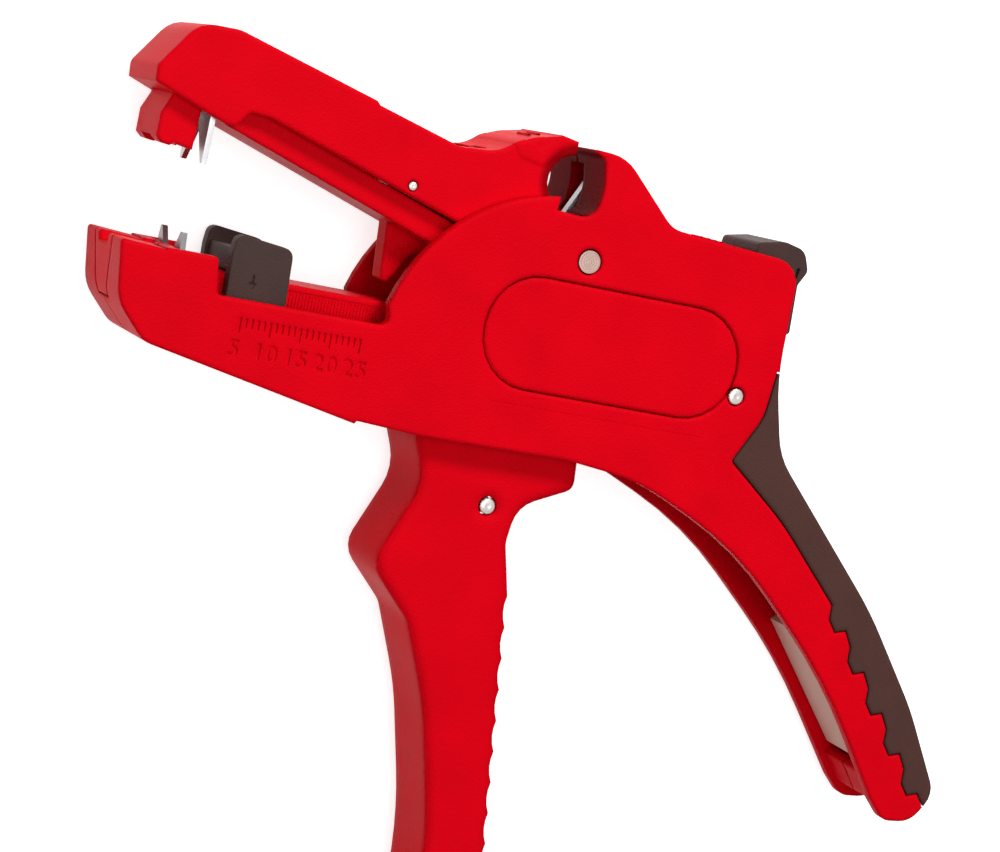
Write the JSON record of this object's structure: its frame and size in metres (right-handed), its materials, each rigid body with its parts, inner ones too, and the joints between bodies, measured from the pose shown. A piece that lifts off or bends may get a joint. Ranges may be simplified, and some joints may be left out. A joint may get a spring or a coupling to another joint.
{
  "type": "automatic wire stripper",
  "caption": "Pistol-shaped automatic wire stripper with clamping jaws, sliding forked blades, a length stop, a side cutter and a spring-loaded hand lever.",
  "frame": {"origin": "on the face that the tool lies on, under the middle of the oval side panel", "axes": "+X along the jaws towards the rear grip, +Y from the grips up to the jaws, +Z from the rest face up to the upper cheek"},
  "size_m": [0.1657, 0.1409, 0.024],
  "materials": {
    "red_plastic": "fine satin grain",
    "soft_grip": "matte moulded grip",
    "dark_plastic": "satin",
    "steel": "bright",
    "blade_steel": "ground",
    "pale_plastic": "satin"
  },
  "bodies": {
    "housing": {"housing_front": "red_plastic", "housing_back": "red_plastic", "grip_cover_front": "soft_grip", "grip_cover_back": "soft_grip", "side_panel_front": "red_plastic", "side_panel_back": "red_plastic", "lower_clamp": "red_plastic", "stop_rail": "red_plastic", "main_pin": "steel", "rear_rivet": "steel", "handle_plate": "pale_plastic", "fixed_cutter": "blade_steel", "cutter_pin": "steel", "tension_dial_pin": "steel", "pressure_block": "red_plastic", "pressure_plunger": "red_plastic", "pressure_spring": "steel", "spring_post": "steel", "return_spring": "steel"},
    "arm": {"upper_arm": "red_plastic", "clamp_jaw": "red_plastic", "arm_pin": "steel"},
    "upper_slide": {"upper_carriage": "red_plastic", "upper_blade": "blade_steel"},
    "lower_slide": {"lower_carriage": "red_plastic", "lower_blade": "blade_steel", "link_pin": "steel", "pull_link_front": "blade_steel", "pull_link_back": "blade_steel"},
    "lever": {"lever_handle": "red_plastic", "lever_pin": "steel", "drive_pin": "steel", "spring_pin": "steel", "moving_cutter": "blade_steel"},
    "stop": {"length_stop": "dark_plastic"},
    "dial": {"tension_dial": "dark_plastic"}
  },
  "joints": [
    {"name": "lever_pivot", "type": "hinge", "parent": "housing", "child": "lever", "pos_m": [-0.0074, 0.0132, 0.012], "axis": [0, 0, 1], "range_deg": [0, 32], "stiffness_Nm_per_rad": 0.1, "springref_deg": -11.46},
    {"name": "jaw_pivot", "type": "hinge", "parent": "housing", "child": "arm", "pos_m": [-0.0074, 0.0132, 0.012], "axis": [0, 0, 1], "range_deg": [0, 11.21]},
    {"name": "upper_blade_slide", "type": "slide", "parent": "arm", "child": "upper_slide", "axis": [0.9532, -0.3024, 0], "range_m": [0, 0.0048]},
    {"name": "lower_blade_slide", "type": "slide", "parent": "housing", "child": "lower_slide", "axis": [1, 0, 0], "range_m": [0, 0.0048]},
    {"name": "length_stop_slide", "type": "slide", "parent": "housing", "child": "stop", "axis": [1, 0, 0], "range_m": [-0.0007, 0.0193]},
    {"name": "tension_dial_pivot", "type": "hinge", "parent": "housing", "child": "dial", "pos_m": [0.024, 0.0115, 0.012], "axis": [0, 0, 1], "range_deg": [0, 12]}
  ],
  "couplings": [
    {"joint": "jaw_pivot", "follows": "lever_pivot", "ratio": 0.35},
    {"joint": "upper_blade_slide", "follows": "lever_pivot", "m_per_rad": 0.008594},
    {"joint": "lower_blade_slide", "follows": "lever_pivot", "m_per_rad": 0.008594}
  ]
}
